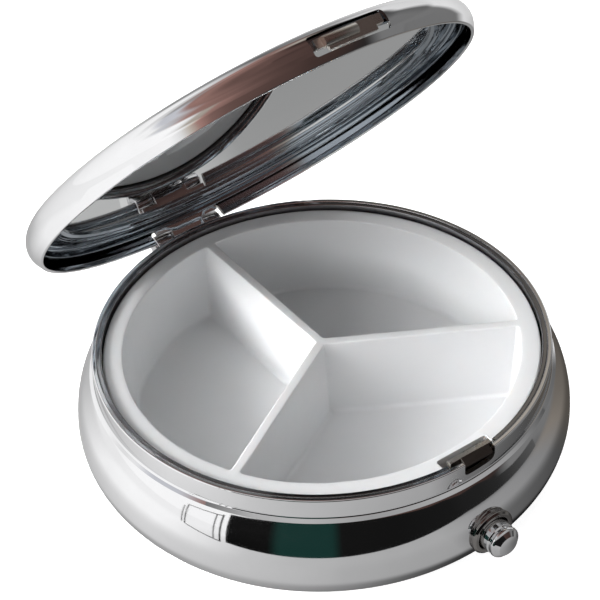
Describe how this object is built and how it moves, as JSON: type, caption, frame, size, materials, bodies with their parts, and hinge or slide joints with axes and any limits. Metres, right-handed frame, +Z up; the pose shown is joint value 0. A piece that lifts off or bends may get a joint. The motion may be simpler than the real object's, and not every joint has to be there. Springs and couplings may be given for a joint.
{
  "type": "travel pill organizer",
  "caption": "Round pocket pill box of chromed sheet steel with a divided white tray, a hinged mirrored lid and a push-button latch.",
  "frame": {"origin": "centre of the flat underside", "axes": "+Z up out of the box, +Y towards the hinge at the back, -Y towards the push button, +X to the right seen from the front"},
  "size_m": [0.05, 0.054, 0.0519],
  "materials": {
    "chrome": "polished chrome plate",
    "chrome_dark": "polished, slightly dark plate",
    "nickel": "satin nickel plate",
    "steel": "plain bright steel",
    "white_plastic": "white moulded plastic, semi-gloss",
    "mirror": "silvered glass mirror",
    "foam": "dark adhesive foam"
  },
  "bodies": {
    "box": {"base_shell": "chrome", "collar_ring": "chrome", "pill_tray": "white_plastic", "button_bush": "chrome_dark", "latch_guide": "steel", "latch_spring": "steel", "base_hinge_leaf": "chrome", "hinge_pin": "chrome"},
    "lid": {"lid_shell": "chrome", "mirror_bezel": "chrome", "lid_mirror": "mirror", "mirror_pad": "foam", "lid_hinge_leaf": "chrome", "lid_strike": "nickel"},
    "latch": {"push_button": "chrome", "button_plunger": "steel", "latch_hook": "nickel"}
  },
  "joints": [
    {"name": "lid_hinge", "type": "hinge", "parent": "box", "child": "lid", "pos_m": [0, 0.0247, 0.0122], "axis": [-1, 0, 0], "range_deg": [-51.5, 58.5]},
    {"name": "button_press", "type": "slide", "parent": "box", "child": "latch", "axis": [0, 1, 0], "range_m": [0, 0.0009], "stiffness_N_per_m": 600, "springref_m": -0.001, "deforming": ["latch_spring"]}
  ]
}
